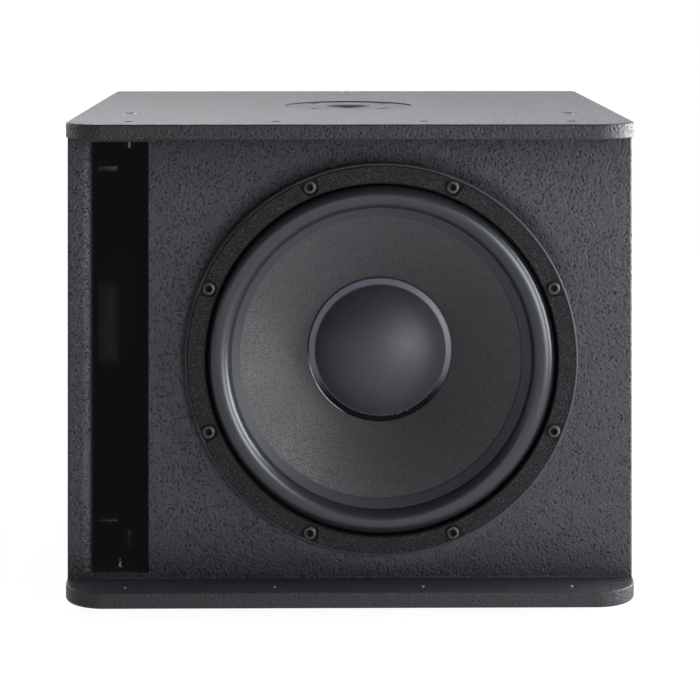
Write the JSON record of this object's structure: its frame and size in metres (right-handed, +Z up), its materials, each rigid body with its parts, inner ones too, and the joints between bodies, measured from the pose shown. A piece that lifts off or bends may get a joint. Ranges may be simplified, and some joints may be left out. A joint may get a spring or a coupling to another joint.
{
  "type": "subwoofer cabinet",
  "caption": "Passive bass-reflex subwoofer box with a large cone driver, a tall slot port, side handles, a pole flange on top and recessed rear sockets.",
  "frame": {"origin": "on the floor under the middle of the cabinet, at the height of the feet's undersides", "axes": "+Z is up, the driver faces -Y, and +X is to the right for someone who looks at the driver"},
  "size_m": [0.5718, 0.538, 0.483],
  "materials": {
    "structured_paint": "plywood under thick structured dark grey paint",
    "flat_black_wood": "plywood under flat black paint",
    "bare_birch": "unpainted birch plywood",
    "foam": "open-cell acoustic foam",
    "black_steel": "fine-grained black powder coat",
    "black_screw": "blackened steel",
    "zinc_steel": "bright zinc plate",
    "brass_insert": "turned brass",
    "grip_rubber": "moulded soft grip",
    "black_rubber": "matte rubber",
    "black_plastic": "moulded, fine texture",
    "cable_jacket": "smooth jacket",
    "cast_basket": "black painted aluminium casting",
    "gasket_paper": "pressed black fibre",
    "surround_rubber": "smooth soft sheen",
    "cone_paper": "coated long-fibre paper",
    "cap_paper": "fine cloth-coated paper",
    "former": "rolled foil",
    "copper_wire": "enamelled copper",
    "spider_cloth": "resin-stiffened cloth",
    "motor_steel": "dark plated steel",
    "ferrite": "sintered ferrite"
  },
  "bodies": {
    "cabinet": {"top_panel": "structured_paint", "bottom_panel": "structured_paint", "left_side_panel": "structured_paint", "right_side_panel": "structured_paint", "rear_panel": "structured_paint", "front_baffle": "structured_paint", "port_wall": "flat_black_wood", "window_brace": "bare_birch", "acoustic_foam": "foam", "pole_flange": "black_steel", "pole_flange_screws": "black_screw", "pole_flange_t_nuts": "zinc_steel", "rigging_inserts": "black_steel", "ledge_inserts": "brass_insert", "handle_cup_left": "black_steel", "handle_cup_right": "black_steel", "handle_grips": "grip_rubber", "handle_screws": "black_screw", "connector_plate": "black_steel", "plate_gasket": "black_rubber", "plate_screws": "black_screw", "speaker_connectors": "black_plastic", "connector_screws": "black_screw", "rubber_feet": "black_rubber", "foot_screws": "zinc_steel", "foot_t_nuts": "zinc_steel", "speaker_cable": "cable_jacket", "driver_basket": "cast_basket", "basket_seal": "black_rubber", "front_gasket": "gasket_paper", "driver_bolts": "black_screw", "driver_t_nuts": "zinc_steel", "surround": "surround_rubber", "spider": "spider_cloth", "top_plate": "motor_steel", "magnet_ring": "ferrite", "pole_yoke": "motor_steel", "shorting_ring": "copper_wire", "motor_screws": "zinc_steel", "terminal_block": "black_plastic", "tinsel_leads": "copper_wire"},
    "cone_assembly": {"cone": "cone_paper", "dust_cap": "cap_paper", "voice_coil_former": "former", "voice_coil": "copper_wire"}
  },
  "joints": [
    {"name": "cone_slide", "type": "slide", "parent": "cabinet", "child": "cone_assembly", "axis": [0, -1, 0], "range_m": [-0.008, 0.008], "stiffness_N_per_m": 2500, "deforming": ["surround", "spider", "tinsel_leads"]}
  ]
}
